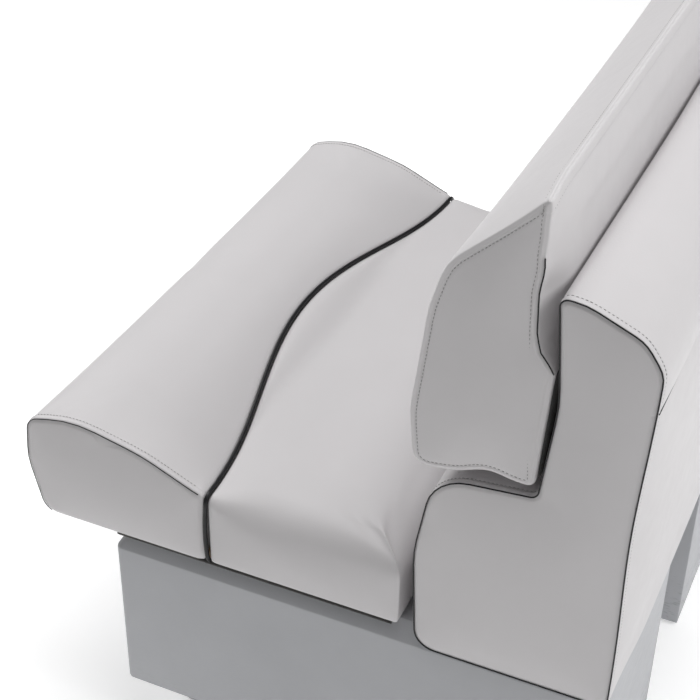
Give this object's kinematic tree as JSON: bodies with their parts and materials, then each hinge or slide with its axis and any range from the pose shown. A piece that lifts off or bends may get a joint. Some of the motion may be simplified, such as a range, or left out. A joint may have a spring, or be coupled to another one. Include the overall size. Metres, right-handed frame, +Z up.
{
  "type": "boat lounge bench with bolster pillow",
  "caption": "Boat lounge bench: moulded storage base, hinged seat cushion, notched backrest and a full-width lift-off bolster pillow.",
  "frame": {"origin": "on the floor, under the middle of the bench's bounding box", "axes": "+Z up, -Y the way the sitter faces, +X to the bench's own right-hand end as seen from the front"},
  "size_m": [0.716, 0.6727, 0.8299],
  "materials": {
    "moulded_plastic": "satin grey rotomoulded polyethylene",
    "marine_vinyl": "light warm grey marine vinyl, fine grain, satin",
    "vinyl_end_panels": "light warm grey marine vinyl, fine grain, satin",
    "black_piping": "satin black vinyl cord",
    "open_cell_foam": "matt cut foam",
    "marine_plywood": "sealed plywood",
    "black_cambric": "matt black non-woven cloth",
    "stainless_steel": "brushed stainless steel",
    "black_rubber": "matt rubber"
  },
  "bodies": {
    "bench": {"back_bracket_bolt_left": "stainless_steel", "back_bracket_bolt_right": "stainless_steel", "back_bracket_left": "stainless_steel", "back_bracket_right": "stainless_steel", "back_cheek_left": "marine_plywood", "back_cheek_right": "marine_plywood", "back_cover_front": "marine_vinyl", "back_cover_rear": "marine_vinyl", "back_end_pad_left": "open_cell_foam", "back_end_pad_right": "open_cell_foam", "back_end_panel_left": "vinyl_end_panels", "back_end_panel_right": "vinyl_end_panels", "back_foam_lumbar": "open_cell_foam", "back_foam_upper": "open_cell_foam", "back_hook_rail": "stainless_steel", "back_lumbar_board": "marine_plywood", "back_piping_left": "black_piping", "back_piping_right": "black_piping", "back_rail_screw_left": "stainless_steel", "back_rail_screw_right": "stainless_steel", "back_rear_board": "marine_plywood", "back_shelf_board": "marine_plywood", "back_upper_board": "marine_plywood", "base_shell": "moulded_plastic", "deck_bumper_left": "black_rubber", "deck_bumper_right": "black_rubber", "front_glide": "black_rubber", "hinge_leaf_left": "stainless_steel", "hinge_leaf_right": "stainless_steel", "hinge_leaf_screw_left": "stainless_steel", "hinge_leaf_screw_right": "stainless_steel", "hinge_pin_left": "stainless_steel", "hinge_pin_right": "stainless_steel", "leg_glide_left": "black_rubber", "leg_glide_right": "black_rubber", "storage_floor": "moulded_plastic", "toe_plinth": "moulded_plastic"},
    "seat_lid": {"hinge_arm_bolt_left": "stainless_steel", "hinge_arm_bolt_right": "stainless_steel", "hinge_arm_left": "stainless_steel", "hinge_arm_right": "stainless_steel", "seat_board": "marine_plywood", "seat_cover_front": "marine_vinyl", "seat_cover_main": "marine_vinyl", "seat_dust_cover": "black_cambric", "seat_foam_front": "open_cell_foam", "seat_foam_main": "open_cell_foam", "seat_front_end_left": "vinyl_end_panels", "seat_front_end_right": "vinyl_end_panels", "seat_welt": "black_piping"},
    "pillow": {"pillow_backing": "black_cambric", "pillow_board": "marine_plywood", "pillow_cover_front": "marine_vinyl", "pillow_cover_rear": "marine_vinyl", "pillow_end_cap_left": "vinyl_end_panels", "pillow_end_cap_right": "vinyl_end_panels", "pillow_foam": "open_cell_foam", "pillow_hook_rail": "stainless_steel", "pillow_rail_screw_left": "stainless_steel", "pillow_rail_screw_right": "stainless_steel"}
  },
  "joints": [
    {"name": "seat_hinge", "type": "hinge", "parent": "bench", "child": "seat_lid", "pos_m": [0, 0.1126, 0.364], "axis": [-1, 0, 0], "range_deg": [0, 45]},
    {"name": "pillow_lift", "type": "slide", "parent": "bench", "child": "pillow", "axis": [0, 0, 1], "range_m": [0, 0.022]}
  ]
}
